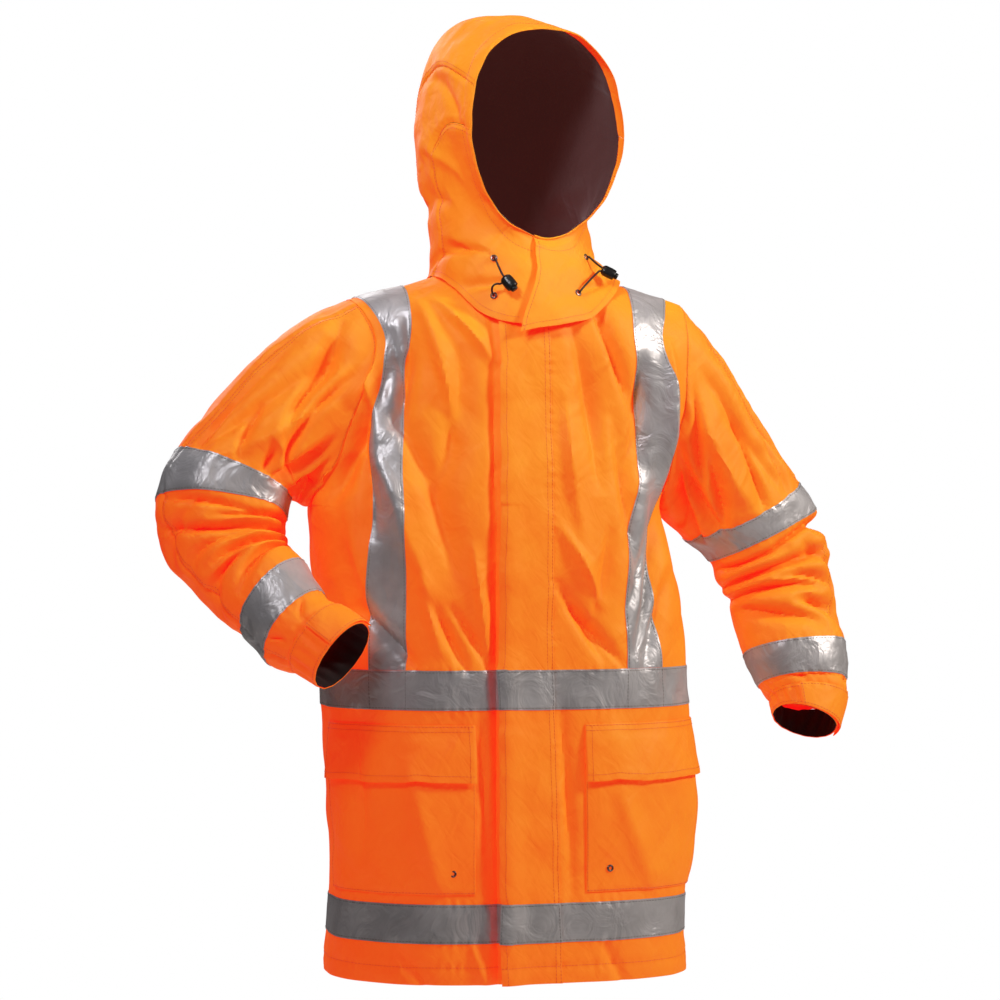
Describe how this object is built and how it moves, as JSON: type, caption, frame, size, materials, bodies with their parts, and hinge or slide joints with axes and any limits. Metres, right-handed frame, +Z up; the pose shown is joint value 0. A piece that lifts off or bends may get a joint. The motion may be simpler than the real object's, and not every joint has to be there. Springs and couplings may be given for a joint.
{
  "type": "hi-vis work parka with hood, worn form",
  "caption": "Hooded high-visibility work parka in its worn, hollow form, with reflective bands, storm flap, patch pockets, gathered cuffs and hood drawcords.",
  "frame": {"origin": "base of the wearer's neck, level with the shoulders, on the garment's centre line", "axes": "+Z up, the front faces -Y, the wearer's left is +X"},
  "size_m": [0.9034, 0.3537, 1.233],
  "materials": {
    "hi_vis_cloth": "fluorescent orange coated oxford cloth, plain weave",
    "reflective_tape": "grey glass-bead retroreflective tape",
    "dark_lining": "near-black maroon woven lining",
    "zip_tape": "black woven zip tape",
    "moulded_black": "moulded black plastic, satin",
    "elastic_cord": "dark braided elastic cord",
    "plated_eyelet": "plated pressed metal"
  },
  "bodies": {
    "garment": {"back": "hi_vis_cloth", "brace_tape_left": "reflective_tape", "brace_tape_right": "reflective_tape", "cord_left_lower": "elastic_cord", "cord_left_upper": "elastic_cord", "cord_right_lower": "elastic_cord", "cord_right_upper": "elastic_cord", "cuff_left": "hi_vis_cloth", "cuff_lining_left": "dark_lining", "cuff_lining_right": "dark_lining", "cuff_right": "hi_vis_cloth", "cuff_tab_left": "hi_vis_cloth", "cuff_tab_right": "hi_vis_cloth", "drain_eyelet_left": "plated_eyelet", "drain_eyelet_right": "plated_eyelet", "eyelet_left_lower": "plated_eyelet", "eyelet_left_upper": "plated_eyelet", "eyelet_right_lower": "plated_eyelet", "eyelet_right_upper": "plated_eyelet", "front_left": "hi_vis_cloth", "front_right": "hi_vis_cloth", "front_zip": "zip_tape", "hem_tape_back": "reflective_tape", "hem_tape_flap": "reflective_tape", "hem_tape_left": "reflective_tape", "hem_tape_right": "reflective_tape", "hood_back": "hi_vis_cloth", "hood_crown": "hi_vis_cloth", "hood_front_left": "hi_vis_cloth", "hood_front_right": "hi_vis_cloth", "hood_lining": "dark_lining", "lock_barrel_left": "moulded_black", "lock_barrel_right": "moulded_black", "pocket_flap_left": "hi_vis_cloth", "pocket_flap_right": "hi_vis_cloth", "pocket_left": "hi_vis_cloth", "pocket_right": "hi_vis_cloth", "sleeve_back_left": "hi_vis_cloth", "sleeve_back_right": "hi_vis_cloth", "sleeve_front_left": "hi_vis_cloth", "sleeve_front_right": "hi_vis_cloth", "sleeve_tape_lower_left": "reflective_tape", "sleeve_tape_lower_right": "reflective_tape", "sleeve_tape_upper_left": "reflective_tape", "sleeve_tape_upper_right": "reflective_tape", "storm_flap": "hi_vis_cloth", "waist_tape_back": "reflective_tape", "waist_tape_flap": "reflective_tape", "waist_tape_left": "reflective_tape", "waist_tape_right": "reflective_tape"},
    "button_right": {"lock_button_right": "moulded_black"},
    "button_left": {"lock_button_left": "moulded_black"}
  },
  "joints": [
    {"name": "press_right", "type": "slide", "parent": "garment", "child": "button_right", "axis": [-0.5368, 0.3909, 0.7477], "range_m": [0, 0.003], "stiffness_N_per_m": 300, "springref_m": -0.003},
    {"name": "press_left", "type": "slide", "parent": "garment", "child": "button_left", "axis": [-0.869, 0.185, 0.459], "range_m": [0, 0.003], "stiffness_N_per_m": 300, "springref_m": -0.003}
  ]
}
